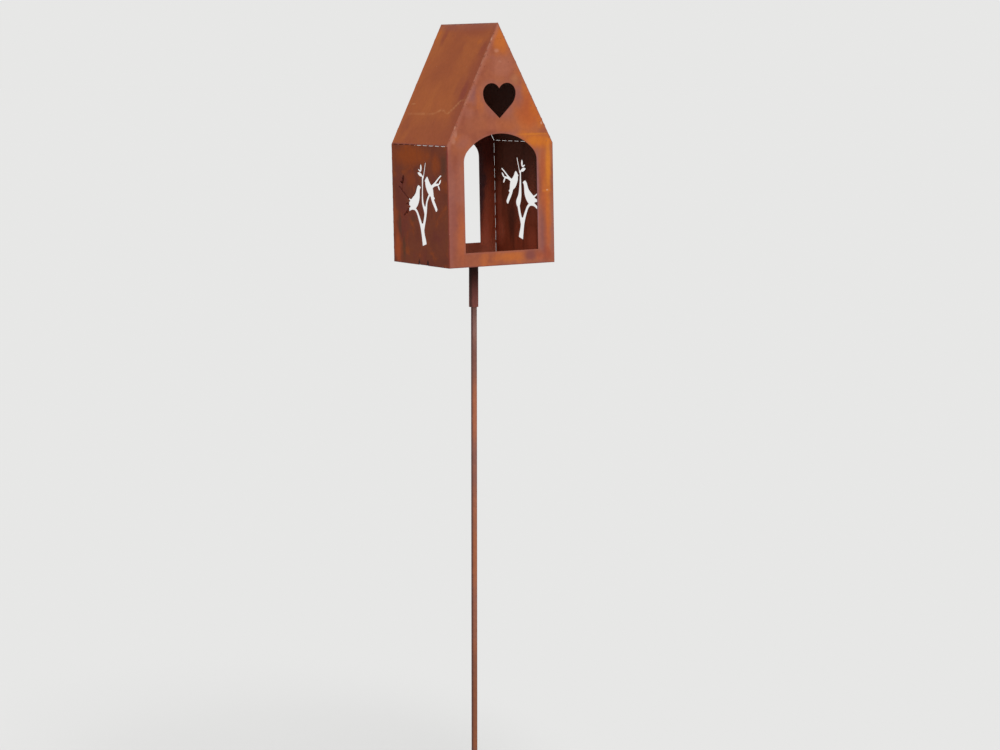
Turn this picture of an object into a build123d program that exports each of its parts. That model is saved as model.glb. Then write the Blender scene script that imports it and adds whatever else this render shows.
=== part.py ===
from build123d import *
import os
from math import acos, atan2, cos, degrees, hypot, radians, sin, tan

# Bird feeder: a folded sheet steel house with arched doors front and back, plugged on a ground stake.
# Millimetres, +Z up, the front faces -Y, the origin is on the stake's axis at ground level.

# House shell, outer faces
house_width = 201.0
house_depth = 200.0  # from the front to the back edge of the roof
wall_height = 200.5
roof_rise = 200.5
sheet = 1.5

# Arched doors, alike in the front and the back wall
door_width = 138.0
door_sill = 23.6
door_spring = 182.5
door_rise = 36.3
door_haunch_radius = 28.0  # rounds the arch into the jambs

# Heart in each gable: two round lobes, then wider arcs and straight flanks down to a point
heart_crown_gap = 24.6  # from the door's crown up to the tip
heart_rise = 42.1  # from the tip up to the lobes' centres
heart_notch_rise = 7.7
heart_lobe_offset = 14.5
heart_flank_radius = 27.9

# Perforated folds: rows of slots with narrow bridges that are bent by hand
fold_bridge_width = 5.0
fold_bridge_count = 10
eave_bend_radius = 1.2
corner_bend_radius = 0.2

# The back wall is folded in behind the roof's back edge: the gap behind that edge, the gap under the
# slope, and the short tacks that close this open seam
back_seam_step = 0.4
back_seam_gap = 0.4
seam_tack_length = 6.0
seam_tack_recess = 0.3
seam_tack_places = (0.12, 0.5, 0.88)

# Rounds ground on the outer corner welds and on the ridge
weld_round = 1.2
ridge_round = 0.3

# Floor on two bent lugs, tacked front and back
floor_clearance = 0.5
lug_width = 28.0
lug_centre = 8.5
lug_slot_width = 3.0
lug_slot_height = 7.0
lug_reach = 9.0
lug_bend_radius = 0.5
floor_tack_leg = 2.5
floor_tack_length = 14.0
floor_tack_places = (-60.0, 60.0)

# Ground stake and the socket that plugs on it
stand_height = 1100.0
rod_diameter = 10.0
socket_bore = 12.0
socket_wall = 2.0
socket_drop = 77.0
socket_shift = 0.5  # it hangs to the lean's side on the thinner bar
socket_edge = 0.8
rod_end_gap = 0.3
socket_weld_leg = 3.0

# The house stands a little crooked on its socket: angle, and compass bearing of the top from +X
lean = 1.08
lean_bearing = 151.0

# Bird cut-out, seen from outside: (distance along the wall, height, width of cut)
branch_cuts = {
    "trunk": [(12.7, 34, 16.8), (9.8, 45, 15), (7.6, 53, 13.5), (6.6, 60, 13.5), (6.6, 70, 10)],
    "left_branch": [(6.4, 52, 11), (3.4, 62, 10.4), (-1.2, 72, 9.4), (-6.3, 80, 8.4), (-12, 88, 7.4),
                    (-21, 93.5, 5.5), (-32, 94.2, 6), (-41, 91, 6), (-50, 86, 5), (-60, 81, 1.6)],
    "left_twig": [(-33, 106.5, 4.5), (-40.5, 109.6, 3.4), (-49.5, 114.6, 3), (-63.5, 122.5, 3),
                  (-77, 130.2, 1.6)],
    "left_twig_shoot": [(-62, 120, 2.5), (-64.5, 127, 2.5), (-63, 135, 2)],
    "stem": [(8, 56, 10), (12.2, 69.5, 9.6), (15.3, 77, 9.6), (17.5, 84, 9.8), (19, 92, 11)],
    "top_twig": [(12.5, 146, 5), (15.8, 155, 4.4), (18.6, 163, 4.4), (21.6, 172.4, 4)],
    "right_twig": [(43, 133, 6), (54, 138.7, 4.8), (65, 145.8, 4.2), (77.5, 152.4, 3)],
    "right_shoot": [(45, 132, 5), (56, 136, 4), (68, 136.5, 4)],
}

# The left wall's stem forks to the right bird. In the right wall that fork has closed up,
# and the stem's cut is wide at its foot.
left_wall_cuts = {
    "middle_stem": [(17.5, 88, 10), (12.4, 98, 8.6), (8.9, 105, 8), (8.2, 112, 7.2), (8.4, 120, 6.2),
                    (9.1, 130, 6), (9.6, 140, 6.6), (10.4, 150, 7)],
    "right_branch": [(19, 88, 9.5), (21.8, 100, 8.2), (24.6, 107.7, 7), (28.9, 113.7, 6.6), (34.5, 120, 6)],
}
right_wall_cuts = {
    "middle_stem": [(20, 88, 10.5), (19.2, 97, 16.5), (15.2, 104, 14), (12.9, 112, 11.6), (12, 120, 9.6),
                    (11.3, 130, 7.6), (10.8, 141, 6.2), (10.4, 150, 6.6)],
}

# Leaves: base, tip and width
leaf_cuts = [
    ((5, 156), (4.5, 170), 8.0),
    ((5, 156.5), (-7, 160.3), 3.6),
    ((11.5, 149.6), (-9.0, 154.2), 6.6),
    ((65.5, 136), (77.5, 145.5), 5.6),
    ((63, 136.5), (72.5, 127), 6.0),
    ((-64.5, 132), (-58.0, 149.8), 8.0),
    ((-62, 134), (-72, 138.5), 5.0),
]

# Birds: smooth runs of points that meet at corners
left_bird_runs = [
    [(4.6, 130.3), (0.5, 132.3), (-4, 133.9), (-9.2, 132.4), (-13.4, 127.2), (-17, 120.6),
     (-24.5, 114.8), (-34, 108.8)],
    [(-34, 108.8), (-39.5, 104.8)],
    [(-39.5, 104.8), (-46, 103), (-52, 100.2)],
    [(-52, 100.2), (-45, 98.8), (-38.5, 98)],
    [(-38.5, 98), (-34, 92.5)],
    [(-34, 92.5), (-23, 91.8), (-13, 96)],
    [(-13, 96), (-5.2, 103.5), (-1.1, 112), (-0.3, 121), (1.1, 127.2)],
    [(1.1, 127.2), (4.6, 130.3)],
]
right_bird_runs = [
    [(15.9, 141.6), (20, 145.4), (23.2, 148.1), (26.8, 149.1), (30.2, 147.6), (33.6, 143), (38.5, 137.8),
     (44.5, 133.6)],
    [(44.5, 133.6), (47.8, 129), (49.4, 122), (50.2, 117)],
    [(50.2, 117), (54.2, 113.8)],
    [(54.2, 113.8), (50.6, 111.2)],
    [(50.6, 111.2), (57, 103.8), (62.5, 96)],
    [(62.5, 96), (60, 92.4), (54, 92)],
    [(54, 92), (47.5, 100), (40.2, 109), (36.6, 116)],
    [(36.6, 116), (34.2, 117.6)],
    [(34.2, 117.6), (27, 122), (21.6, 128.8), (18.6, 135.4), (18.4, 139.8)],
    [(18.4, 139.8), (15.9, 141.6)],
]

# Derived values
half_width = house_width / 2
half_depth = house_depth / 2
slope_length = hypot(half_width, roof_rise)
roof_tilt = degrees(atan2(half_width, roof_rise))
ridge_height = wall_height + roof_rise
eave_setback = (eave_bend_radius + sheet) * tan(radians(roof_tilt / 2))
corner_setback = corner_bend_radius + sheet
lug_setback = lug_bend_radius + sheet
wall_front = -half_depth + sheet
back_inside = half_depth + back_seam_step
wall_back = back_inside + sheet - corner_setback
heart_tip_height = door_spring + door_rise + heart_crown_gap
heart_lobe_height = heart_tip_height + heart_rise
heart_lobe_radius = hypot(heart_lobe_offset, heart_notch_rise)
rod_radius = rod_diameter / 2
socket_radius = socket_bore / 2 + socket_wall
socket_place = Pos(socket_shift * cos(radians(lean_bearing)), socket_shift * sin(radians(lean_bearing)), 0)
floor_underside = sheet


def gable_points(side_inset, slope_inset):
    """House-shaped outline, set in from the outer faces by the two distances."""
    side = half_width - side_inset
    drop = slope_inset / sin(radians(roof_tilt))
    shoulder = wall_height + side_inset * roof_rise / half_width - drop
    return [(-side, 0), (side, 0), (side, shoulder), (0, ridge_height - drop), (-side, shoulder)]


def slope_plane(side):
    """Plane on a roof's outer face: X runs up the slope from the eave line, Y to the back, Z in or out."""
    up = (-side * half_width, 0, roof_rise)
    return Plane(origin=(side * half_width, 0, wall_height), x_dir=up, z_dir=Vector(up).cross(Vector(0, 1, 0)))


def stand_up(face, front, thickness):
    """Raise an XZ outline into a plate whose front face is at y = front."""
    plate = extrude(face, amount=thickness, dir=(0, 0, 1))
    return Pos(0, front + thickness, 0) * Rot(90, 0, 0) * plate


def smooth_run(points):
    """One edge through the points, straight where there are only two."""
    return Line(*points) if len(points) == 2 else Spline(*points)


def branch_face(nodes):
    """Tapered branch: both edges run beside the centre line at half the width."""
    left, right = [], []
    for i, (a, z, width) in enumerate(nodes):
        before, after = nodes[max(i - 1, 0)], nodes[min(i + 1, len(nodes) - 1)]
        run, rise = after[0] - before[0], after[1] - before[1]
        step = width / 2 / hypot(run, rise)
        left.append((a - rise * step, z + run * step))
        right.append((a + rise * step, z - run * step))
    edges = [smooth_run(left), Line(left[-1], right[-1]), smooth_run(right), Line(right[0], left[0])]
    return make_face(edges)


def leaf_face(base, tip, width):
    """Pointed leaf between two arcs."""
    run, rise = tip[0] - base[0], tip[1] - base[1]
    step = width / 2 / hypot(run, rise)
    middle = ((base[0] + tip[0]) / 2, (base[1] + tip[1]) / 2)
    upper = (middle[0] - rise * step, middle[1] + run * step)
    lower = (middle[0] + rise * step, middle[1] - run * step)
    return make_face([ThreePointArc(base, upper, tip), ThreePointArc(tip, lower, base)])


def bird_cutout(wall_cuts):
    """Two birds on a branch, as one flat shape seen from outside the wall."""
    faces = [make_face([smooth_run(run) for run in runs]) for runs in (left_bird_runs, right_bird_runs)]
    faces += [branch_face(nodes) for nodes in (branch_cuts | wall_cuts).values()]
    faces += [leaf_face(*leaf) for leaf in leaf_cuts]
    shape = faces[0]
    for face in faces[1:]:
        shape += face
    return shape


def heart_face():
    """Heart: each half is a lobe from the notch, a wider arc tangent to it, and a straight flank to the tip."""
    tip = (0, heart_tip_height)
    start = degrees(atan2(heart_notch_rise, -heart_lobe_offset))
    lobe = CenterArc((heart_lobe_offset, heart_lobe_height), heart_lobe_radius, start, -start)
    inward = heart_lobe_offset + heart_lobe_radius - heart_flank_radius
    tip_bearing = atan2(-heart_rise, -inward)
    turn = degrees(tip_bearing + acos(heart_flank_radius / hypot(inward, heart_rise)))
    haunch = CenterArc((inward, heart_lobe_height), heart_flank_radius, 0, turn)
    half = make_face([lobe, haunch, Line(haunch @ 1, tip), Line(tip, lobe @ 0)])
    return half + mirror(half, about=Plane.YZ)


def door_face():
    """Door: straight jambs under a flat arch with rounded haunches."""
    jamb = door_width / 2
    arch = ThreePointArc((-jamb, door_spring), (0, door_spring + door_rise), (jamb, door_spring))
    frame = Polyline((jamb, door_spring), (jamb, door_sill), (-jamb, door_sill), (-jamb, door_spring))
    opening = make_face([arch, frame])
    return fillet(opening.vertices().group_by(Axis.Y)[-1], door_haunch_radius)


def end_wall(side_inset, slope_inset, front):
    """Gabled wall with its door and heart."""
    outline = make_face(Polyline(*gable_points(side_inset, slope_inset), close=True))
    return stand_up(outline - door_face() - heart_face(), front, sheet)


def side_wall(side, cutout):
    """Side wall with the bird cut-out and the notch that the floor lug is bent from."""
    notch_half = lug_width / 2 + lug_slot_width
    top = wall_height - eave_setback
    start, end = sorted((side * wall_front, side * wall_back))
    plate = make_face(Polyline((start, 0), (end, 0), (end, top), (start, top), close=True))
    notch = Pos(lug_centre, lug_slot_height / 2) * Rectangle(2 * notch_half, lug_slot_height)
    slab = stand_up(plate - notch - cutout, -half_width, sheet)
    return Rot(0, 0, side * 90) * slab


def floor_lug(side):
    """Lug bent inwards from the foot of a side wall to carry the floor."""
    outer = lug_setback
    centre = (-half_width + outer, outer)
    bend = bend_face(centre, lug_bend_radius, 180, 90)
    upright = Polyline((-half_width, outer), (-half_width, lug_slot_height),
                       (-half_width + sheet, lug_slot_height), (-half_width + sheet, outer), close=True)
    foot = Polyline((centre[0], 0), (-half_width + lug_reach, 0), (-half_width + lug_reach, sheet),
                    (centre[0], sheet), close=True)
    section = bend + make_face(upright) + make_face(foot)
    left_lug = stand_up(section, -lug_centre - lug_width / 2, lug_width)
    return left_lug if side < 0 else Rot(0, 0, 180) * left_lug


def bend_face(centre, inner_radius, start_angle, turn):
    """Section of a bend: a piece of ring as thick as the sheet."""
    inner = CenterArc(centre, inner_radius, start_angle, turn)
    outer = CenterArc(centre, inner_radius + sheet, start_angle, turn)
    return make_face([inner, Line(inner @ 1, outer @ 1), outer, Line(outer @ 0, inner @ 0)])


def bridge_starts(length):
    """Even row of bridges with one flush at each end of the fold."""
    pitch = (length - fold_bridge_width) / (fold_bridge_count - 1)
    return [i * pitch for i in range(fold_bridge_count)]


def eave_fold(side):
    """Bent bridges between a side wall and its roof."""
    outer = eave_bend_radius + sheet
    centre = (-half_width + outer, wall_height - eave_setback)
    section = bend_face(centre, eave_bend_radius, 180 - roof_tilt, roof_tilt)
    bridges = [stand_up(section, wall_front + start, fold_bridge_width)
               for start in bridge_starts(half_depth - wall_front)]
    row = Compound(bridges)
    return row if side < 0 else mirror(row, about=Plane.YZ)


def corner_fold(side):
    """Bent bridges between a side wall and the back wall."""
    centre = (-half_width + corner_setback, wall_back)
    section = bend_face(centre, corner_bend_radius, 90, 90)
    length = gable_points(corner_setback, sheet + back_seam_gap)[2][1]
    bridges = [Pos(0, 0, start) * extrude(section, amount=fold_bridge_width, dir=(0, 0, 1))
               for start in bridge_starts(length)]
    row = Compound(bridges)
    return row if side < 0 else mirror(row, about=Plane.YZ)


def roof_panel(side):
    """Roof plate from the eave fold to the ridge, open over the front weld."""
    end = slope_length - sheet / tan(radians(roof_tilt))
    plane = slope_plane(side)
    inward = -1 if plane.z_dir.Z > 0 else 1
    outline = Pos((eave_setback + end) / 2, (wall_front + half_depth) / 2) * Rectangle(
        end - eave_setback, half_depth - wall_front)
    return extrude(plane * outline, amount=sheet, dir=inward * plane.z_dir)


def ridge_weld():
    """Weld that fills the groove between the roof plates, ground flush with a small round on top."""
    depth = sheet / sin(radians(roof_tilt))
    half = sheet * cos(radians(roof_tilt))
    shoulder = ridge_height - depth + sheet * sin(radians(roof_tilt))
    section = make_face(Polyline((0, ridge_height - depth), (half, shoulder), (0, ridge_height),
                                 (-half, shoulder), close=True))
    section = fillet(section.vertices().sort_by(Axis.Y)[-1], ridge_round)
    return stand_up(section, wall_front, half_depth - wall_front)


def front_welds():
    """Ground welds round the front wall: the two corners and the two gable edges, mitred where they meet."""
    on_line = 0.01
    outer = gable_points(0, 0)
    inner = gable_points(sheet, sheet)
    edges = {"front_right_corner_weld": (1, 2), "front_right_gable_weld": (2, 3),
             "front_left_gable_weld": (3, 4), "front_left_corner_weld": (4, 0)}
    welds = {}
    for name, (start, end) in edges.items():
        section = make_face(Polyline(outer[start], outer[end], inner[end], inner[start], close=True))
        bead = stand_up(section, -half_depth, sheet)
        foot = Vector(outer[start][0], -half_depth, outer[start][1])
        run = (Vector(outer[end][0], -half_depth, outer[end][1]) - foot).normalized()
        corner = [edge for edge in bead.edges()
                  if max((edge @ 0 - foot).cross(run).length, (edge @ 1 - foot).cross(run).length) < on_line]
        welds[name] = fillet(corner, weld_round)
    return welds


def seam_tacks(side):
    """Short tacks on the back gable's edge that close the open seam against a roof's back edge."""
    length = slope_length - (sheet + back_seam_gap) / tan(radians(roof_tilt))
    plane = slope_plane(side)
    inward = -1 if plane.z_dir.Z > 0 else 1
    tacks = []
    top = plane.origin + plane.z_dir * inward * seam_tack_recess
    seat = Plane(origin=top, x_dir=plane.x_dir, z_dir=plane.z_dir)
    width = back_seam_step + sheet
    height = sheet + back_seam_gap - seam_tack_recess
    for place in seam_tack_places:
        foot = Pos(place * length, half_depth + width / 2) * Rectangle(seam_tack_length, width)
        tacks.append(extrude(seat * foot, amount=height, dir=inward * plane.z_dir))
    return Compound(tacks)


def floor_plate():
    """Floor inside the walls, lying on the lugs."""
    reach = 2 * (half_width - sheet - floor_clearance)
    front, back = wall_front + floor_clearance, back_inside - floor_clearance
    return Pos(0, (front + back) / 2, floor_underside + sheet / 2) * Box(reach, back - front, sheet)


def floor_tacks(side):
    """Corner welds between the floor's top and the front or back wall."""
    wall_face = back_inside if side > 0 else -wall_front
    base = floor_underside + sheet
    section = make_face(Polyline((wall_face, base), (wall_face, base + floor_tack_leg),
                                 (wall_face - floor_tack_leg, base), close=True))
    tacks = [Rot(0, 0, 90) * stand_up(section, place - floor_tack_length / 2, floor_tack_length)
             for place in floor_tack_places]
    row = Compound(tacks)
    return row if side > 0 else Rot(0, 0, 180) * row


def place_house(shape):
    """Lean the house about the stake's top and lift it to its height."""
    bearing = radians(lean_bearing)
    hinge = Axis((0, 0, 0), (-sin(bearing), cos(bearing), 0))
    return Pos(0, 0, stand_height) * shape.rotate(hinge, lean)


def under_floor(shape):
    """Cut a plumb piece off at the leaning floor's underside."""
    block = Pos(0, 0, floor_underside + house_width / 2) * Box(house_width, house_width, house_width)
    return shape - place_house(block)


def socket_tube():
    """Plumb tube welded under the floor, open at its foot, with its outer rim rounded off."""
    foot = stand_height - socket_drop
    height = socket_drop + 2 * socket_wall + floor_underside
    ring = Circle(socket_radius) - Circle(socket_bore / 2)
    tube = extrude(ring, amount=height, dir=(0, 0, 1))
    rim = tube.faces().sort_by(Axis.Z)[0].outer_wire().edges()
    return under_floor(socket_place * Pos(0, 0, foot) * fillet(rim, socket_edge))


def socket_weld():
    """Fillet weld round the top of the socket tube."""
    reach = socket_radius + socket_weld_leg
    rise = (reach + socket_weld_leg) * tan(radians(lean))
    top = stand_height + floor_underside
    section = make_face(Polyline((socket_radius, top - socket_weld_leg), (reach, top), (reach, top + rise),
                                 (socket_radius, top + rise), close=True))
    ring = revolve(Plane.XZ * section, Axis.Z, 360)
    return under_floor(socket_place * ring)


def stake_rod():
    """Round bar from the ground up into the socket, just under the floor."""
    tilt_drop = rod_radius * tan(radians(lean))
    height = stand_height + floor_underside - tilt_drop - rod_end_gap
    return extrude(Circle(rod_radius), amount=height, dir=(0, 0, 1))


house = {
    "front_wall": end_wall(sheet, sheet, -half_depth),
    "back_wall": end_wall(corner_setback, sheet + back_seam_gap, back_inside),
    "left_wall": side_wall(-1, bird_cutout(left_wall_cuts)),
    "right_wall": side_wall(1, bird_cutout(right_wall_cuts)),
    "left_roof": roof_panel(-1),
    "right_roof": roof_panel(1),
    "left_eave_fold": eave_fold(-1),
    "right_eave_fold": eave_fold(1),
    "back_left_fold": corner_fold(-1),
    "back_right_fold": corner_fold(1),
    "ridge_weld": ridge_weld(),
    "back_left_gable_tacks": seam_tacks(-1),
    "back_right_gable_tacks": seam_tacks(1),
    "floor_plate": floor_plate(),
    "left_floor_lug": floor_lug(-1),
    "right_floor_lug": floor_lug(1),
    "front_floor_tacks": floor_tacks(-1),
    "back_floor_tacks": floor_tacks(1),
}
house.update(front_welds())

pieces = {name: place_house(shape) for name, shape in house.items()}
pieces["socket_tube"] = socket_tube()
pieces["socket_weld"] = socket_weld()
pieces["stake_rod"] = stake_rod()

os.makedirs("parts", exist_ok=True)
for name, shape in pieces.items():
    export_step(shape, f"parts/{name}.step")
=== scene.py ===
import bmesh
import bpy
import numpy as np
from math import cos, hypot, pi, radians, sin, sqrt
from mathutils import Matrix, Vector


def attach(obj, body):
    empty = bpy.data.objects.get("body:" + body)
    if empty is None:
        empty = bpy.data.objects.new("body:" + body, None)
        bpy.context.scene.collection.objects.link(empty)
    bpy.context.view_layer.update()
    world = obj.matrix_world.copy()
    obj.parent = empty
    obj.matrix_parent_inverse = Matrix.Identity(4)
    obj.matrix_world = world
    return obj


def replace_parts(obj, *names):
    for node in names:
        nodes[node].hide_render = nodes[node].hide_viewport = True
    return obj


# Bird feeder: a small house of rusted sheet steel on a ground stake.
# The house is worked out in its own space, in millimetres: upright, X to the right and Y to the back
# seen from its front door, Z up from its foot. toFrame takes it to its place on the stake, in metres.

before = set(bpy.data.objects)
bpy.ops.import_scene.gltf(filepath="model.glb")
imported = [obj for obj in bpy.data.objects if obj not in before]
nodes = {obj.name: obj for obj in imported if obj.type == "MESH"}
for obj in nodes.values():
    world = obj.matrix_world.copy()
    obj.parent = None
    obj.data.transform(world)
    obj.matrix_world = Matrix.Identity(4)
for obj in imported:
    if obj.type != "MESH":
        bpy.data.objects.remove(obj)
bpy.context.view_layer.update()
print("frame loaded:", len(nodes), "nodes")

house = {
    "width": 201.0,
    "depth": 200.0,  # from the front to the back edge of the roof
    "eaves": 200.5,
    "ridge": 401.0,
    "sheet": 1.5,
    "foot": 1100.0,  # height of its underside on the stake
    "lean": 1.08,  # degrees, towards the bearing
    "leanBearing": 151.0,  # degrees from +X
    "doorWidth": 138.0,
    "doorSill": 23.6,
    "doorSpring": 182.5,
    "doorRise": 36.3,
    "seamStep": 0.4,  # the back wall stands this far behind the roof's back edge
    "seamGap": 0.4,  # and its gable this far under the slope
}
halfWidth = house["width"] / 2
halfDepth = house["depth"] / 2
backInside = halfDepth + house["seamStep"]
backFace = backInside + house["sheet"]
roofRise = house["ridge"] - house["eaves"]
slopeLength = hypot(halfWidth, roofRise)
slopeOut = Vector((-roofRise, 0, halfWidth)) / slopeLength  # out of the left slope; flip X for the right one
slopeReach = slopeOut.dot(Vector((-halfWidth, 0, house["eaves"])))
bearing = radians(house["leanBearing"])
leanTurn = Matrix.Rotation(radians(house["lean"]), 3, Vector((-sin(bearing), cos(bearing), 0)))


def toFrame(points):
    # house space in millimetres to the frame in metres: lean, lift to the foot's height, scale
    turned = np.asarray(points, float) @ np.array(leanTurn).T
    return (turned + (0, 0, house["foot"])) / 1000


def tone(red, green, blue):
    # a screen colour, 0 to 255, as the linear colour that a shader wants
    part = np.array([red, green, blue]) / 255
    linear = np.where(part <= 0.04045, part / 12.92, ((part + 0.055) / 1.055) ** 2.4)
    return (*linear.tolist(), 1.0)


# Node helpers

def addNode(tree, kind, inputs=(), **options):
    # options are set first, then the inputs: a socket is linked and a plain value is written
    node = tree.nodes.new("ShaderNode" + kind)
    for option, value in options.items():
        setattr(node, option, value)
    feed(tree, node, inputs)
    return node


def feed(tree, node, inputs):
    for key, value in dict(inputs).items():
        if isinstance(value, bpy.types.NodeSocket):
            tree.links.new(value, node.inputs[key])
        else:
            node.inputs[key].default_value = value


def reckon(tree, operation, *values, clamp=False):
    return addNode(tree, "Math", enumerate(values), operation=operation, use_clamp=clamp).outputs[0]


def vectorSum(tree, operation, *values, result="Vector"):
    return addNode(tree, "VectorMath", enumerate(values), operation=operation).outputs[result]


def ramp(tree, value, low, high, start=0.0, end=1.0):
    limits = {"Value": value, "From Min": low, "From Max": high, "To Min": start, "To Max": end}
    return addNode(tree, "MapRange", limits, interpolation_type="SMOOTHSTEP").outputs["Result"]


def mixColour(tree, share, under, over, way="MIX"):
    return addNode(tree, "Mix", {0: share, 6: under, 7: over}, data_type="RGBA", blend_type=way).outputs[2]


def noise(tree, point, perMillimetre, detail=3.0, roughness=0.55, distortion=0.0, output="Fac"):
    inputs = {"Vector": point, "Scale": perMillimetre, "Detail": detail, "Roughness": roughness,
              "Distortion": distortion}
    return addNode(tree, "TexNoise", inputs, noise_dimensions="3D").outputs[output]


socketKinds = {"value": "NodeSocketFloat", "vector": "NodeSocketVector", "colour": "NodeSocketColor"}
# inputs that many groups have
zeroVector, black, fullStrength = ("vector", (0, 0, 0)), ("colour", (0, 0, 0, 1)), ("value", 1.0)


def newGroup(name, inputs, outputs):
    tree = bpy.data.node_groups.new(name, "ShaderNodeTree")
    for label, (kind, value) in inputs.items():
        tree.interface.new_socket(label, in_out="INPUT", socket_type=socketKinds[kind]).default_value = value
    for label, kind in outputs.items():
        tree.interface.new_socket(label, in_out="OUTPUT", socket_type=socketKinds[kind])
    return tree, tree.nodes.new("NodeGroupInput").outputs, tree.nodes.new("NodeGroupOutput")


def useGroup(tree, name, inputs=()):
    node = tree.nodes.new("ShaderNodeGroup")
    node.node_tree = groups[name]
    feed(tree, node, inputs)
    return node.outputs


# Node groups that the rusted finishes share

def makeHouseSpace():
    # object coordinates turned upright and counted in millimetres from the house's foot
    tree, _, out = newGroup("houseSpace", {}, {"Point": "vector"})
    upright = leanTurn.transposed()
    where = addNode(tree, "TexCoord").outputs["Object"]
    placed = addNode(tree, "Mapping", {
        "Vector": where,
        "Location": upright @ Vector((0, 0, -house["foot"])),
        "Rotation": upright.to_euler(),
        "Scale": (1000, 1000, 1000),
    }, vector_type="POINT")
    feed(tree, out, {"Point": placed.outputs["Vector"]})
    return tree


def makeStakeSpace():
    # object coordinates in millimetres from the ground
    tree, _, out = newGroup("stakeSpace", {}, {"Point": "vector"})
    where = addNode(tree, "TexCoord").outputs["Object"]
    feed(tree, out, {"Point": vectorSum(tree, "MULTIPLY", where, (1000, 1000, 1000))})
    return tree


def makeRaggedPoint():
    # the point pushed about by up to Push millimetres, so that soft shapes get uneven outlines
    tree, given, out = newGroup("raggedPoint", {
        "Point": zeroVector, "Push": ("value", 8.0), "Spacing": ("value", 22.0),
    }, {"Point": "vector"})
    rate = reckon(tree, "DIVIDE", 1.0, given["Spacing"])
    swirl = noise(tree, given["Point"], rate, detail=4.0, output="Color")
    centred = vectorSum(tree, "SUBTRACT", swirl, (0.5, 0.5, 0.5))
    doubled = reckon(tree, "MULTIPLY", given["Push"], 2.0)
    push = addNode(tree, "VectorMath", {0: centred, "Scale": doubled}, operation="SCALE").outputs["Vector"]
    feed(tree, out, {"Point": vectorSum(tree, "ADD", given["Point"], push)})
    return tree


def makeSoftPatch():
    # 1 at the centre of an ellipsoid, down to 0 at its surface
    tree, given, out = newGroup("softPatch", {
        "Point": zeroVector, "Centre": zeroVector, "Size": ("vector", (10, 10, 10)),
        "Strength": fullStrength,
    }, {"Mask": "value"})
    offset = vectorSum(tree, "SUBTRACT", given["Point"], given["Centre"])
    share = vectorSum(tree, "DIVIDE", offset, given["Size"])
    away = vectorSum(tree, "LENGTH", share, result="Value")
    feed(tree, out, {"Mask": reckon(tree, "MULTIPLY", ramp(tree, away, 1.0, 0.25), given["Strength"])})
    return tree


def makeEdgeBand():
    # 1 along a straight edge: Facing points out across the edge, which lies Reach from the origin
    tree, given, out = newGroup("edgeBand", {
        "Point": zeroVector, "Facing": ("vector", (1, 0, 0)), "Reach": ("value", 100.0),
        "Width": ("value", 3.0), "Strength": fullStrength,
    }, {"Mask": "value"})
    inside = reckon(tree, "SUBTRACT", given["Reach"],
                    vectorSum(tree, "DOT_PRODUCT", given["Point"], given["Facing"], result="Value"))
    share = reckon(tree, "DIVIDE", inside, given["Width"])
    feed(tree, out, {"Mask": reckon(tree, "MULTIPLY", ramp(tree, share, 1.0, 0.35), given["Strength"])})
    return tree


def makeDoorBand():
    # 1 at the rim of the arched doors, down to 0 at Width from it
    radius = ((house["doorWidth"] / 2) ** 2 + house["doorRise"] ** 2) / (2 * house["doorRise"])
    centre = house["doorSpring"] + house["doorRise"] - radius
    tree, given, out = newGroup("doorBand", {
        "Point": zeroVector, "Width": ("value", 6.0), "Strength": fullStrength,
    }, {"Mask": "value"})
    split = addNode(tree, "SeparateXYZ", {"Vector": given["Point"]}).outputs
    across = reckon(tree, "ABSOLUTE", split["X"])
    fromJamb = reckon(tree, "SUBTRACT", across, house["doorWidth"] / 2)
    fromSill = reckon(tree, "SUBTRACT", house["doorSill"], split["Z"])
    straight = reckon(tree, "MAXIMUM", fromJamb, fromSill)
    rise = reckon(tree, "SUBTRACT", split["Z"], centre)
    spoke = reckon(tree, "SQRT", reckon(tree, "ADD", reckon(tree, "POWER", across, 2.0),
                                        reckon(tree, "POWER", rise, 2.0)))
    fromArch = reckon(tree, "SUBTRACT", spoke, radius)
    above = reckon(tree, "GREATER_THAN", split["Z"], house["doorSpring"])
    away = addNode(tree, "Mix", {0: above, 2: straight, 3: fromArch}, data_type="FLOAT").outputs[0]
    share = reckon(tree, "DIVIDE", away, given["Width"])
    feed(tree, out, {"Mask": reckon(tree, "MULTIPLY", ramp(tree, share, 1.0, 0.4), given["Strength"])})
    return tree


def makeCutFace():
    # 1 on the cut thickness of a sheet, 0 on its two flat faces; Height is the torch's fine striation
    tree, given, out = newGroup("cutFace", {
        "Point": zeroVector, "Facing": ("vector", (0, 1, 0)),
    }, {"Mask": "value", "Height": "value"})
    normal = addNode(tree, "NewGeometry").outputs["Normal"]
    turned = vectorSum(tree, "DOT_PRODUCT", normal, given["Facing"], result="Value")
    mask = ramp(tree, reckon(tree, "ABSOLUTE", turned), 0.75, 0.5)
    through = addNode(tree, "VectorMath", {0: given["Facing"], "Scale": vectorSum(
        tree, "DOT_PRODUCT", given["Point"], given["Facing"], result="Value")}, operation="SCALE")
    flat = vectorSum(tree, "SUBTRACT", given["Point"], through.outputs["Vector"])
    feed(tree, out, {"Mask": mask, "Height": noise(tree, flat, 2.6, detail=1.0)})
    return tree


def makeInnerFace():
    # 1 on the face of a sheet that looks into the house, 0 on its other sides
    tree, given, out = newGroup("innerFace", {"Outward": ("vector", (0, 1, 0))}, {"Mask": "value"})
    normal = addNode(tree, "NewGeometry").outputs["Normal"]
    turned = vectorSum(tree, "DOT_PRODUCT", normal, given["Outward"], result="Value")
    feed(tree, out, {"Mask": ramp(tree, turned, -0.3, -0.7)})
    return tree


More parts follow.
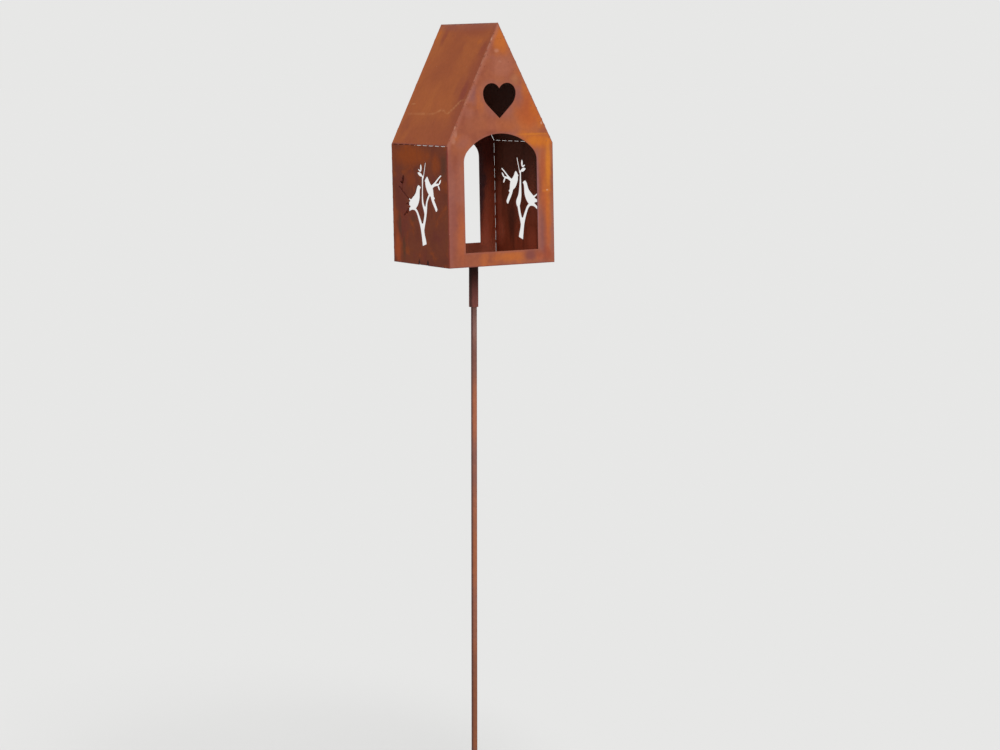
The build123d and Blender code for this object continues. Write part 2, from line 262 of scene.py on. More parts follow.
def makeBrokenLine():
    # an edge band that comes and goes along its run
    tree, given, out = newGroup("brokenLine", {
        "Point": zeroVector, "Band": ("value", 0.0), "Spacing": ("value", 16.0),
    }, {"Mask": "value"})
    rate = reckon(tree, "DIVIDE", 1.0, given["Spacing"])
    there = ramp(tree, noise(tree, given["Point"], rate, detail=3.0, roughness=0.6), 0.4, 0.6, 0.15, 1.0)
    feed(tree, out, {"Mask": reckon(tree, "MULTIPLY", given["Band"], there)})
    return tree


def makeRustClouds():
    # large soft fields of the four rust colours
    tree, given, out = newGroup("rustClouds", {
        "Point": zeroVector, "Spacing": ("value", 60.0),
        "Dark": black, "Body": black, "Warm": black, "Mauve": black,
    }, {"Color": "colour"})
    rate = reckon(tree, "DIVIDE", 1.0, given["Spacing"])
    wide = noise(tree, given["Point"], rate, detail=5.0, distortion=0.3)
    aside = vectorSum(tree, "ADD", given["Point"], (310, -170, 90))
    warmth = noise(tree, aside, reckon(tree, "MULTIPLY", rate, 1.4), detail=5.0, distortion=0.5)
    beyond = vectorSum(tree, "ADD", given["Point"], (-240, 60, -410))
    violet = noise(tree, beyond, reckon(tree, "MULTIPLY", rate, 1.1), detail=4.0, distortion=0.2)
    colour = mixColour(tree, ramp(tree, wide, 0.34, 0.6), given["Dark"], given["Body"])
    colour = mixColour(tree, ramp(tree, warmth, 0.5, 0.7, 0, 0.8), colour, given["Warm"])
    colour = mixColour(tree, ramp(tree, violet, 0.52, 0.72, 0, 0.8), colour, given["Mauve"])
    feed(tree, out, {"Color": colour})
    return tree


def makeRustGrain():
    # fine powder, pits and small blotches laid over a colour
    tree, given, out = newGroup("rustGrain", {
        "Color": black, "Point": zeroVector, "Contrast": ("value", 0.2), "Matt": ("value", 0.78),
    }, {"Color": "colour", "Roughness": "value", "Height": "value"})
    powder = noise(tree, given["Point"], 1.15, detail=3.0, roughness=0.65)
    blotch = noise(tree, given["Point"], 0.16, detail=4.0, roughness=0.6)
    pitPlace = noise(tree, vectorSum(tree, "ADD", given["Point"], (50, 20, 70)), 0.55, detail=2.0)
    pits = ramp(tree, pitPlace, 0.3, 0.22)
    both = reckon(tree, "ADD", reckon(tree, "MULTIPLY", powder, 0.5), reckon(tree, "MULTIPLY", blotch, 0.5))
    swing = reckon(tree, "MULTIPLY", reckon(tree, "SUBTRACT", both, 0.5), given["Contrast"])
    level = reckon(tree, "MULTIPLY_ADD", swing, 4.0, 1.0)
    darkened = reckon(tree, "MULTIPLY_ADD", pits, -0.3, level)
    grey = addNode(tree, "CombineColor", {0: darkened, 1: darkened, 2: darkened}).outputs[0]
    colour = mixColour(tree, 1.0, given["Color"], grey, "MULTIPLY")
    evened = reckon(tree, "SUBTRACT", powder, 0.5)
    rough = reckon(tree, "MULTIPLY_ADD", evened, 0.3, given["Matt"], clamp=True)
    height = reckon(tree, "SUBTRACT", both, reckon(tree, "MULTIPLY", pits, 0.35))
    feed(tree, out, {"Color": colour, "Roughness": rough, "Height": height})
    return tree


def makeWaterRuns():
    # narrow upright streaks where rain has run down
    tree, given, out = newGroup("waterRuns", {
        "Point": zeroVector, "Strength": ("value", 0.4),
    }, {"Mask": "value"})
    stretched = vectorSum(tree, "MULTIPLY", given["Point"], (1, 1, 0.08))
    streak = noise(tree, stretched, 0.085, detail=3.0, roughness=0.5)
    feed(tree, out, {"Mask": reckon(tree, "MULTIPLY", ramp(tree, streak, 0.52, 0.72), given["Strength"])})
    return tree


def makeGroundMarks():
    # fine scratches of the grinder: noise drawn out along one direction
    tree, given, out = newGroup("groundMarks", {
        "Point": zeroVector, "Turn": zeroVector, "Drawn": ("vector", (2.2, 2.2, 0.1)),
    }, {"Height": "value"})
    turned = addNode(tree, "Mapping", {"Vector": given["Point"], "Rotation": given["Turn"]},
                     vector_type="POINT").outputs["Vector"]
    drawn = vectorSum(tree, "MULTIPLY", turned, given["Drawn"])
    feed(tree, out, {"Height": noise(tree, drawn, 1.0, detail=2.0)})
    return tree


def makePaleSpecks():
    # sparse pale dots of lime: few of the cells of a spaced grid hold one
    tree, given, out = newGroup("paleSpecks", {
        "Point": zeroVector, "Spacing": ("value", 9.0), "Share": ("value", 0.06),
    }, {"Mask": "value"})
    cells = addNode(tree, "TexVoronoi", {"Vector": given["Point"], "Scale": reckon(
        tree, "DIVIDE", 1.0, given["Spacing"])}, voronoi_dimensions="3D", feature="F1").outputs
    chosen = reckon(tree, "LESS_THAN", addNode(tree, "SeparateColor", {0: cells["Color"]}).outputs[0],
                    given["Share"])
    feed(tree, out, {"Mask": reckon(tree, "MULTIPLY", ramp(tree, cells["Distance"], 0.1, 0.03), chosen)})
    return tree


groups = {
    "houseSpace": makeHouseSpace(),
    "stakeSpace": makeStakeSpace(),
    "raggedPoint": makeRaggedPoint(),
    "softPatch": makeSoftPatch(),
    "edgeBand": makeEdgeBand(),
    "doorBand": makeDoorBand(),
    "cutFace": makeCutFace(),
    "innerFace": makeInnerFace(),
    "brokenLine": makeBrokenLine(),
    "rustClouds": makeRustClouds(),
    "rustGrain": makeRustGrain(),
    "waterRuns": makeWaterRuns(),
    "groundMarks": makeGroundMarks(),
    "paleSpecks": makePaleSpecks(),
}
print("node groups:", len(groups))

# Rust colours, as they look in even light; some of them serve as painted shade and painted light inside the
# house and on the stake
rustTones = {
    "body": (163, 93, 64),
    "dark": (142, 76, 56),
    "warm": (178, 98, 54),
    "mauve": (148, 90, 80),
    "rose": (170, 104, 84),
    "redOrange": (176, 86, 48),
    "orange": (192, 104, 38),
    "amber": (206, 120, 40),
    "plum": (112, 62, 66),
    "lilac": (148, 102, 106),
    "maroon": (128, 56, 48),
    "olive": (98, 66, 46),
    "sootAndShade": (40, 26, 22),
    "pale": (214, 172, 148),
    "clay": (166, 90, 49),
    "clayDark": (158, 84, 47),
    "clayWarm": (171, 95, 50),
    "clayRed": (146, 74, 49),
    "sand": (200, 138, 92),
    "chalk": (184, 126, 104),
    "brick": (140, 71, 46),
    "brickDark": (128, 62, 43),
    "brickWarm": (178, 84, 31),
    "brickPlum": (130, 60, 50),
    "flame": (206, 92, 46),
    "hearth": (158, 82, 54),
    "hearthRed": (205, 118, 90),
    "ember": (188, 94, 62),
    "glow": (196, 104, 66),
    "scale": (112, 62, 45),
    "shadow": (78, 43, 30),
    "gloom": (122, 64, 54),
    "jambShade": (104, 80, 84),
    "umber": (146, 92, 72),
    "umberWarm": (168, 101, 72),
    "umberAmber": (166, 96, 58),
    "umberRust": (120, 68, 40),
    "umberGrey": (132, 90, 82),
    "umberDark": (96, 58, 46),
    "umberPaintedLight": (172, 127, 116),
    "umberLeftShade": (112, 78, 72),
    "iron": (188, 114, 104),
    "ironRed": (190, 110, 96),
    "weldBrown": (150, 90, 70),
}
rust = {name: tone(*shade) for name, shade in rustTones.items()}

# Looks of the panels. A patch is (colour, centre, half size, strength) in house space, with a ragged outline,
# and a spot is one with a clear outline. A band is (colour, facing, reach, width, strength) along an edge.
# Inside is (low colour, high colour, from height, to height) for the faces that look into the house, with
# patches of its own; on the walls and roofs these are painted shade, deepest high up, with painted light low
# down on the back and right walls. The helpers take shorter rows and place them on one surface.
frontFace = -halfDepth
leftSlope = tuple(slopeOut)
rightSlope = (-slopeOut.x, 0, slopeOut.z)
throughSheet = 30  # half size of a patch straight through its sheet or bar, which it has to clear
acrossSlope = 4  # a slope patch is this many times wider across than up


def gablePatches(y, rows):
    # rows of (colour, x, z, half width, half height, strength) on a wall across Y
    return [(shade, (x, y, z), (halfX, throughSheet, halfZ), strength)
            for shade, x, z, halfX, halfZ, strength in rows]


def sidePatches(x, rows):
    # rows of (colour, y, z, half depth, half height, strength) on a wall across X
    return [(shade, (x, y, z), (throughSheet, halfY, halfZ), strength)
            for shade, y, z, halfY, halfZ, strength in rows]


def slopePatches(side, rows):
    # rows of (colour, distance up from the eave, y, half size up, half depth, strength) on a roof slope,
    # each wide enough across for the slope to run through its middle
    patches = []
    for shade, up, y, halfUp, halfY, strength in rows:
        share = up / slopeLength
        centre = (side * halfWidth * (1 - share), y, house["eaves"] + share * roofRise)
        size = (acrossSlope * halfUp, halfY, halfUp * roofRise / slopeLength)
        patches.append((shade, centre, size, strength))
    return patches


def ringPatches(rows):
    # rows of (colour, height, half height, strength) all round the stake
    return [(shade, (0, 0, z), (throughSheet, throughSheet, halfZ), strength)
            for shade, z, halfZ, strength in rows]


frontWall = {
    "clouds": ("dark", "body", "warm", "mauve"), "spacing": 80.0, "outward": (0, -1, 0), "grain": 0.16,
    # inside: painted shade on the inner face, deepest high up
    "runs": 0.12, "doorRim": ("mauve", 4.0, 0.35), "inside": ("scale", "shadow", 90, 190),
    "patches": gablePatches(frontFace, [
        ("mauve", -93, 95, 15, 120, 0.7),
        ("redOrange", -75, 55, 11, 70, 0.35),
        ("orange", 4, 374, 26, 34, 0.75),
        ("rose", 6, 330, 30, 26, 0.5),
        ("sand", 28, 306, 14, 14, 0.25),
        ("body", -48, 232, 34, 24, 0.6),
        ("body", -74, 200, 22, 20, 0.6),
        ("mauve", -52, 284, 15, 24, 1.0),
        ("plum", -46, 286, 12, 18, 0.2),
        ("rose", -58, 254, 14, 14, 0.45),
        ("rose", -14, 232, 18, 14, 0.4),
        ("mauve", -68, 206, 20, 18, 0.5),
        ("rose", -77, 140, 12, 60, 0.35),
        ("mauve", -77, 140, 12, 60, 0.3),
        ("maroon", -91, 62, 11, 76, 0.3),
        ("mauve", 38, 276, 13, 26, 0.65),
        ("orange", 58, 252, 30, 50, 0.4),
        ("redOrange", 56, 250, 34, 34, 0.5),
        ("warm", 5, 232, 60, 16, 0.35),
        ("orange", 72, 205, 52, 20, 0.9),
        ("amber", 76, 204, 34, 10, 0.6),
        ("redOrange", 58, 276, 20, 36, 0.8),
        ("orange", 50, 290, 12, 22, 0.45),
        ("orange", 64, 262, 14, 24, 0.6),
        ("orange", 76, 238, 14, 20, 0.6),
        ("brickWarm", 54, 250, 32, 26, 0.35),
        ("clayRed", 42, 264, 30, 34, 0.3),
        ("orange", 78, 203, 26, 16, 0.6),
        ("orange", 43, 217, 15, 9, 0.45),
        ("orange", 87, 120, 12, 112, 0.7),
        ("redOrange", 86, 48, 10, 60, 0.5),
        ("mauve", 99, 50, 7, 84, 0.6),
        ("orange", 20, 14, 54, 11, 0.5),
        ("redOrange", 84, 18, 20, 16, 0.5),
        ("maroon", 84, 14, 22, 20, 0.45),
    ]),
    "spots": gablePatches(frontFace, [
        ("mauve", -15, 286, 29, 27, 0.9),
        ("mauve", 15, 286, 27, 27, 0.6),
        ("mauve", -9, 264, 24, 26, 0.7),
        ("mauve", 11, 264, 22, 26, 0.6),
        ("mauve", 70, 140, 5, 70, 0.8),
        ("redOrange", 82, 104, 9, 34, 0.6),
        ("mauve", 74, 44, 9, 72, 0.8),
        ("plum", 80, 56, 9, 72, 0.4),
        ("lilac", 69.5, 108, 3.2, 92, 0.6),
        ("plum", 54, 15, 19, 13, 0.7),
        ("redOrange", 73, 11, 12, 11, 0.55),
        ("clayRed", 70, 17, 13, 10, 0.5),
        ("redOrange", 80, 160, 7, 44, 0.5),
        ("amber", 91, 166, 7, 54, 0.8),
        ("orange", 88, 84, 4, 50, 0.25),
        ("amber", 64, 216, 40, 2.6, 0.6),
        ("chalk", -4, 355, 7, 5, 0.5),
        ("chalk", 2, 337, 5, 2.6, 0.25),
        ("pale", 88, 122, 3.0, 1.7, 0.8),
        ("amber", 86, 121, 12, 3, 0.35),
        ("chalk", -88, 209, 6, 8, 0.5),
        ("chalk", -84, 220, 5, 9, 0.55),
        ("scale", -84.5, 226, 1.4, 1.6, 0.7),
        ("scale", -81.5, 232, 1.4, 1.6, 0.6),
        ("pale", 79, 234, 2.0, 3.4, 0.6),
    ]),
    "bands": [
        ("mauve", (-1, 0, 0), halfWidth, 10.0, 0.4),
        ("maroon", (-1, 0, 0), halfWidth, 2.6, 0.85),
        ("rose", leftSlope, slopeReach, 9.0, 0.5),
        ("mauve", rightSlope, slopeReach, 3.0, 0.5),
        ("plum", (1, 0, 0), halfWidth, 1.8, 0.6),
        ("plum", (0, 0, -1), 0.0, 2.4, 0.5),
    ],
    "weldLine": (leftSlope, slopeReach, 4.0, 0.12),
}
backWall = {
    "clouds": ("dark", "body", "warm", "mauve"), "spacing": 60.0, "outward": (0, 1, 0), "grain": 0.18,
    # inside: painted light low down and painted shade high up on the inner back wall; its patches paint shade
    # along the door's jamb and light near the fold
    "runs": 0.3, "doorRim": ("mauve", 6.0, 0.4), "inside": ("hearthRed", "gloom", 96, 178),
    "insidePatches": gablePatches(backInside, [
        ("umberDark", 64, 118, 18, 124, 1.0),
        ("jambShade", 71, 128, 14, 80, 0.85),
        ("redOrange", 95, 118, 9, 44, 0.4),
        ("hearthRed", 90, 100, 10, 18, 0.35),
        ("brickWarm", 92, 58, 12, 50, 0.35),
        ("scale", 38, 12, 60, 24, 0.6),
    ]),
    "patches": gablePatches(backFace, [
        ("orange", -60, 240, 34, 40, 0.5),
        ("mauve", 40, 300, 30, 50, 0.5),
        ("redOrange", 84, 90, 16, 90, 0.45),
        ("orange", -84, 120, 14, 90, 0.45),
        ("maroon", 0, 12, 70, 14, 0.5),
    ]),
    "bands": [("plum", (0, 0, -1), 0.0, 2.4, 0.6)],
}
leftWall = {
    "clouds": ("brickDark", "brick", "brickWarm", "brickPlum"), "spacing": 55.0, "outward": (-1, 0, 0),
    # inside: painted shade on the inner face, deepest high up
    "grain": 0.16, "runs": 0.15, "inside": ("scale", "shadow", 60, 170),
    "patches": sidePatches(-halfWidth, [
        ("brickWarm", 30, 182, 95, 26, 0.85),
        ("brickWarm", -60, 170, 22, 26, 0.7),
        ("brickDark", -12, 112, 50, 62, 0.5),
        ("brickPlum", 60, 70, 34, 50, 0.6),
        ("brickWarm", 30, 142, 26, 20, 0.5),
        ("olive", -86, 168, 14, 28, 0.55),
        ("brickDark", -86, 122, 16, 26, 0.6),
        ("olive", 26, 78, 16, 9, 0.4),
        ("redOrange", 94, 75, 11, 50, 0.8),
        ("redOrange", 86, 26, 20, 34, 0.95),
        ("flame", 84, 28, 14, 44, 0.5),
        ("olive", 76, 66, 9, 34, 0.7),
        ("olive", 61, 26, 9, 32, 0.7),
        ("redOrange", 21, 127, 5, 5, 0.5),
    ]),
    # dark spots over the floor lug slots: painted shade in and around the slots
    "spots": sidePatches(-halfWidth, [
        ("sootAndShade", 7, 3, 4.5, 9, 1.0),
        ("sootAndShade", -24, 3, 5.5, 9, 1.0),
    ]),
    "bands": [
        ("mauve", (0, -1, 0), halfDepth, 3.0, 0.3),
        ("plum", (0, 0, -1), 0.0, 2.0, 0.5),
        ("mauve", (0, 1, 0), backFace, 5.0, 0.25),
    ],
}
rightWall = {
    "clouds": ("dark", "body", "redOrange", "mauve"), "spacing": 60.0, "outward": (1, 0, 0), "grain": 0.18,
    # inside: painted light low down and painted shade high up on the inner right wall; its patches paint
    # pools of light and one of shade
    "runs": 0.25, "inside": ("hearth", "scale", 40, 170),
    "insidePatches": sidePatches(halfWidth, [
        ("hearthRed", 84, 44, 22, 36, 0.85),
        ("hearthRed", 86, 96, 15, 54, 0.65),
        ("shadow", 42, 66, 20, 56, 0.6),
        ("hearthRed", -30, 30, 30, 30, 0.35),
        ("hearthRed", -31, 118, 18, 70, 0.3),
    ]),
    "patches": sidePatches(halfWidth, [
        ("orange", -70, 60, 26, 60, 0.45),
        ("maroon", 10, 120, 60, 60, 0.45),
        ("warm", 60, 50, 40, 50, 0.4),
        ("warm", -20, 188, 70, 20, 0.5),
    ]),
    "bands": [("mauve", (0, -1, 0), halfDepth, 5.0, 0.4), ("plum", (0, 0, -1), 0.0, 2.0, 0.5)],
}
leftRoof = {
    "clouds": ("clayDark", "clay", "clayWarm", "clayRed"), "spacing": 85.0, "outward": leftSlope,
    # inside: painted shade all over the roof's underside
    "grain": 0.14, "runs": 0.08, "inside": ("shadow", "shadow", 200, 300),
    "patches": slopePatches(-1, [
        ("clayRed", 95, -92, 140, 38, 0.9),
        ("clayRed", 20, 0, 56, 110, 0.4),
        ("maroon", 98, -82, 26, 16, 0.55),
        ("maroon", 177, -85, 22, 14, 0.5),
        ("clayRed", 25, -40, 40, 60, 0.35),
        ("orange", 190, -64, 8, 10, 0.3),
        ("clayRed", 108, -58, 34, 18, 0.6),
        ("clayRed", 14, -74, 30, 26, 0.5),
        ("maroon", 200, 69, 24, 12, 0.5),
        ("clayRed", 212, -30, 20, 80, 0.8),
        ("clayRed", 150, 20, 60, 90, 0.3),
        ("orange", 206, 92, 18, 8, 0.5),
        ("redOrange", 150, 84, 7, 6, 0.45),
        ("redOrange", 132, 92, 6, 5, 0.45),
    ]),
    "spots": slopePatches(-1, [
        ("sand", 75, 80, 2.0, 11, 0.4),
        ("sand", 61, -59, 3.4, 6, 0.25),
        ("sand", 65, -64, 3.4, 6, 0.3),
        ("sand", 69, -69, 3.4, 6, 0.3),
        ("sand", 73, -74, 3.4, 6, 0.3),
        ("sand", 77, -79, 3.4, 6, 0.3),
    ]),
    "bands": [
        ("clayWarm", (0, 1, 0), halfDepth, 8.0, 0.35),
        ("clayRed", (0, -1, 0), halfDepth, 14.0, 0.6),
        ("mauve", (0, 0, 1), house["ridge"], 16.0, 0.35),
        ("plum", (0, 0, 1), house["ridge"], 3.0, 0.5),
        ("plum", (-1, 0, 0), halfWidth, 1.6, 0.5),
    ],
    "tide": [(-100, 84), (-80, 80), (-66, 64), (-56, 59), (-32, 65), (-8, 58), (40, 57), (100, 56)],
}
rightRoof = {
    "clouds": ("clayDark", "clay", "clayWarm", "clayRed"), "spacing": 75.0, "outward": rightSlope,
    # inside: painted shade all over the roof's underside
    "grain": 0.14, "runs": 0.15, "inside": ("shadow", "shadow", 200, 300),
    "patches": slopePatches(1, [
        ("mauve", 90, -86, 60, 24, 0.5),
        ("orange", 157, 40, 44, 50, 0.35),
        ("maroon", 34, 60, 33, 40, 0.4),
        ("plum", 120, 84, 30, 14, 0.4),
    ]),
    "bands": [
        ("mauve", (0, 1, 0), halfDepth, 8.0, 0.4),
        ("plum", (0, 0, 1), house["ridge"], 3.0, 0.6),
    ],
    "tide": [(-100, 40), (-60, 46), (-20, 44), (10, 52), (50, 48), (100, 62)],
}
floorSheet = {
    "clouds": ("ember", "glow", "orange", "redOrange"), "spacing": 45.0, "outward": (0, 0, 1), "grain": 0.2,
    "patches": [
        ("maroon", (20, 60, 3), (40, 30, 20), 0.35),
        ("scale", (-44, -30, 3), (30, 20, 20), 0.4),
        ("olive", (36, 6, 3), (30, 24, 20), 0.3),
    ],
    # darker along the edges where the floor meets the walls: painted shade in these corners
    "bands": [
        ("maroon", (-1, 0, 0), halfWidth, 24.0, 0.5),
        ("maroon", (1, 0, 0), halfWidth, 20.0, 0.5),
        ("maroon", (0, 1, 0), halfDepth, 26.0, 0.5),
        ("plum", (0, -1, 0), halfDepth, 14.0, 0.5),
    ],
    "inside": ("brick", "brick", 0, 10),  # its underside
    "insidePatches": [
        ("maroon", (-50, 30, 0), (70, 60, 30), 0.6),
        ("plum", (60, -60, 0), (50, 40, 30), 0.5),
        ("sootAndShade", (0, 0, 0), (30, 30, 30), 0.8),
    ],
}
foldBridges = {"clouds": ("dark", "mauve", "body", "plum"), "spacing": 12.0}
dressedWeld = {
    "clouds": ("clayRed", "weldBrown", "weldBrown", "mauve"), "spacing": 26.0, "marks": (0, 0, 0),
    "patches": [("plum", (0, 0, house["ridge"]), (14, 110, 4), 0.7), *gablePatches(frontFace, [
        ("pale", -12, 374, 5, 5, 0.55),
        ("pale", -84, 222, 6, 14, 0.5),
        ("pale", 81, 234, 4, 5, 0.5),
    ])],
    "weldLine": (leftSlope, slopeReach, 4.0, 0.08),
}
cornerWeld = {
    "clouds": ("brickDark", "brickPlum", "maroon", "brickPlum"), "spacing": 26.0, "marks": (0, 0, 0),
}
weldLump = {"clouds": ("clayRed", "weldBrown", "rose", "mauve"), "spacing": 8.0}
rawWeld = {"clouds": ("sootAndShade", "maroon", "warm", "plum"), "spacing": 9.0}
socketTube = {
    "clouds": ("iron", "iron", "ironRed", "iron"), "spacing": 30.0, "space": "stakeSpace",
    # the dark spot is painted shade on the tube's left side; the dark ring at the top is heat scale from the
    # weld together with painted shade under the house
    "spots": [
        ("umberLeftShade", (-9.4, -3.2, 1050), (5.6, 5.6, 300), 0.95),
        *ringPatches([("sootAndShade", 1100, 78, 0.95)]),
    ],
}
stakeBar = {
    "clouds": ("umber", "umber", "umberWarm", "umberGrey"), "spacing": 45.0, "space": "stakeSpace",
    "runs": 0.1,
    "patches": ringPatches([
        ("umberGrey", 935, 60, 0.7),
        # paler just under the house: painted light that lifts the house's shadow on the bar
        ("umberPaintedLight", 1010, 70, 0.95),
        ("umberWarm", 840, 80, 0.9),
        ("umberGrey", 762, 40, 0.5),
        ("umberAmber", 600, 110, 0.6),
        ("umberRust", 320, 200, 0.6),
        ("umberDark", 6, 90, 0.7),
    ]),
    "spots": [
        # dark spots down the bar's left side: painted shade
        ("umberLeftShade", (-6.4, -0.8, 560), (4.6, 4.6, 1800), 1.0),
        ("plum", (-6.4, -0.8, 1010), (4.6, 4.6, 80), 0.8),
        ("umberDark", (-6.4, -0.8, 450), (4.4, 4.4, 440), 0.7),
        ("sootAndShade", (2, -5, 931), (1.2, 3, 1.6), 0.6),
        ("sootAndShade", (4.5, -2, 905), (1.2, 3, 1.4), 0.5),
    ],
}


tideMark = {"width": 3.4, "core": 0.2, "strength": 0.55,  # half widths of the line and of its full core
            "fadeFrom": 60, "fadeTo": -30, "faintest": 0.35}  # the line is fainter towards the back


def tideLine(tree, point, course):
    # pale line left by standing damp on the slope: course gives its distance up from the eave along Y
    split = addNode(tree, "SeparateXYZ", {"Vector": point}).outputs
    upSlope = reckon(tree, "MULTIPLY", reckon(tree, "SUBTRACT", split["Z"], house["eaves"]),
                     slopeLength / roofRise)
    alongShare = reckon(tree, "MULTIPLY_ADD", split["Y"], 1 / house["depth"], 0.5)
    curve = addNode(tree, "FloatCurve", {"Value": alongShare})
    ends = curve.mapping.curves[0].points
    while len(ends) < len(course):
        ends.new(0.5, 0.5)
    for dot, (along, up) in zip(ends, course):
        dot.location = (along / house["depth"] + 0.5, up / slopeLength)
    curve.mapping.update()
    level = reckon(tree, "MULTIPLY", curve.outputs["Value"], slopeLength)
    away = reckon(tree, "ABSOLUTE", reckon(tree, "SUBTRACT", upSlope, level))
    fade = ramp(tree, split["Y"], tideMark["fadeFrom"], tideMark["fadeTo"], tideMark["faintest"], 1.0)
    line = reckon(tree, "MULTIPLY", ramp(tree, away, tideMark["width"], tideMark["core"]), fade)
    return reckon(tree, "MULTIPLY", line, tideMark["strength"])


def laidOver(tree, colour, shade, group, **inputs):
    # the colour with one of the rust colours over it where the group's mask says
    mask = useGroup(tree, group, inputs)["Mask"]
    return mixColour(tree, mask, colour, rust[shade])


def edgeMask(tree, point, facing, reach, width, strength):
    return useGroup(tree, "edgeBand", {
        "Point": point, "Facing": facing, "Reach": reach, "Width": width, "Strength": strength})["Mask"]


def patched(tree, point, colour, patches):
    for shade, centre, size, strength in patches:
        colour = laidOver(tree, colour, shade, "softPatch", Point=point, Centre=centre, Size=size,
                          Strength=strength)
    return colour


finishing = {
    "clearPush": 1.2, "clearSpacing": 6.0,  # how little the outlines of spots and bands wander
    "specks": 0.35,  # strength of the pale dots
    "innerStreaks": 0.35,
    "cutTint": 0.5,  # of plum on the cut thickness
    "markRelief": 0.8,
    "reliefStrength": 0.5, "reliefHeight": 0.00025,
    "gloss": 0.16,
}


def outerColour(tree, look, point, ragged):
    # the finish of the faces that look outwards: clouds, then patches, rims, lines, runs and specks over them
    clouds = dict(zip(("Dark", "Body", "Warm", "Mauve"), (rust[shade] for shade in look["clouds"])))
    fields = {"Point": point, "Spacing": look["spacing"], **clouds}
    colour = useGroup(tree, "rustClouds", fields)["Color"]
    colour = patched(tree, ragged, colour, look.get("patches", ()))
    if "doorRim" in look:
        shade, width, strength = look["doorRim"]
        colour = laidOver(tree, colour, shade, "doorBand", Point=point, Width=width, Strength=strength)
    clear = useGroup(tree, "raggedPoint", {
        "Point": point, "Push": finishing["clearPush"], "Spacing": finishing["clearSpacing"]})["Point"]
    colour = patched(tree, clear, colour, look.get("spots", ()))
    for shade, *edge in look.get("bands", ()):
        colour = mixColour(tree, edgeMask(tree, clear, *edge), colour, rust[shade])
    if "weldLine" in look:
        band = edgeMask(tree, clear, *look["weldLine"])
        colour = laidOver(tree, colour, "pale", "brokenLine", Point=point, Band=band)
    if "tide" in look:
        band = tideLine(tree, clear, look["tide"])
        colour = laidOver(tree, colour, "sand", "brokenLine", Point=point, Band=band)
    if "runs" in look:
        colour = laidOver(tree, colour, "maroon", "waterRuns", Point=point, Strength=look["runs"])
    specks = useGroup(tree, "paleSpecks", {"Point": point})["Mask"]
    return mixColour(tree, reckon(tree, "MULTIPLY", specks, finishing["specks"]), colour, rust["pale"])


def innerColour(tree, look, point, ragged):
    # the finish of the faces that look into the house, from one colour low down to another high up; on the
    # walls and roofs this is painted shade, deepest high up, with painted light low down on the back and
    # right walls
    lowShade, highShade, fromHeight, toHeight = look["inside"]
    height = addNode(tree, "SeparateXYZ", {"Vector": ragged}).outputs["Z"]
    colour = mixColour(tree, ramp(tree, height, fromHeight, toHeight), rust[lowShade], rust[highShade])
    colour = patched(tree, ragged, colour, look.get("insidePatches", ()))
    return laidOver(tree, colour, "shadow", "waterRuns", Point=point, Strength=finishing["innerStreaks"])


def rustMaterial(name, look):
    material = bpy.data.materials.new(name)
    material.use_nodes = True
    tree = material.node_tree
    point = useGroup(tree, look.get("space", "houseSpace"))["Point"]
    ragged = useGroup(tree, "raggedPoint", {"Point": point})["Point"]
    colour = outerColour(tree, look, point, ragged)
    if "inside" in look:
        inner = innerColour(tree, look, point, ragged)
        mask = useGroup(tree, "innerFace", {"Outward": look["outward"]})["Mask"]
        colour = mixColour(tree, mask, colour, inner)
    grain = useGroup(tree, "rustGrain", {
        "Color": colour, "Point": point, "Contrast": look.get("grain", 0.2)})
    colour, height = grain["Color"], grain["Height"]
    if "outward" in look:
        cut = useGroup(tree, "cutFace", {"Point": point, "Facing": look["outward"]})
        tint = reckon(tree, "MULTIPLY", cut["Mask"], finishing["cutTint"])
        colour = mixColour(tree, tint, colour, rust["plum"])
        bothHeights = {0: cut["Mask"], 2: height, 3: cut["Height"]}
        height = addNode(tree, "Mix", bothHeights, data_type="FLOAT").outputs[0]
    if "marks" in look:
        marks = useGroup(tree, "groundMarks", {"Point": point, "Turn": look["marks"]})["Height"]
        height = reckon(tree, "ADD", height, reckon(tree, "MULTIPLY", marks, finishing["markRelief"]))
    relief = addNode(tree, "Bump", {
        "Height": height, "Strength": finishing["reliefStrength"], "Distance": finishing["reliefHeight"]})
    feed(tree, tree.nodes["Principled BSDF"], {
        "Base Color": colour,
        "Roughness": grain["Roughness"],
        "Normal": relief.outputs["Normal"],
        "Specular IOR Level": finishing["gloss"],
    })
    return material


def finishNode(node, material):
    part = nodes[node]
    if not part.material_slots:
        part.data.materials.append(material)
    for slot in part.material_slots:
        slot.material = material


finishes = {
    "frontRust": (frontWall, ["front_wall"]),
    "backRust": (backWall, ["back_wall"]),
    "leftRust": (leftWall, ["left_wall", "left_floor_lug"]),
    "rightRust": (rightWall, ["right_wall", "right_floor_lug"]),
    "leftRoofRust": (leftRoof, ["left_roof"]),
    "rightRoofRust": (rightRoof, ["right_roof"]),
    "floorRust": (floorSheet, ["floor_plate"]),
    "bridgeRust": (foldBridges, ["left_eave_fold", "right_eave_fold", "back_left_fold", "back_right_fold"]),
    "dressedWeldRust": (dressedWeld, ["front_right_corner_weld", "front_left_gable_weld",
                                      "front_right_gable_weld", "ridge_weld"]),
    "cornerWeldRust": (cornerWeld, ["front_left_corner_weld"]),
    "weldLumpRust": (weldLump, []),
    "rawWeldRust": (rawWeld, ["back_left_gable_tacks", "back_right_gable_tacks", "front_floor_tacks",
                              "back_floor_tacks", "socket_weld"]),
    "tubeRust": (socketTube, ["socket_tube"]),
    "barRust": (stakeBar, ["stake_rod"]),
}
materials = {}
for name, (look, members) in finishes.items():
    materials[name] = rustMaterial(name, look)
    for node in members:
        finishNode(node, materials[name])
print("materials:", len(materials))


# New pieces

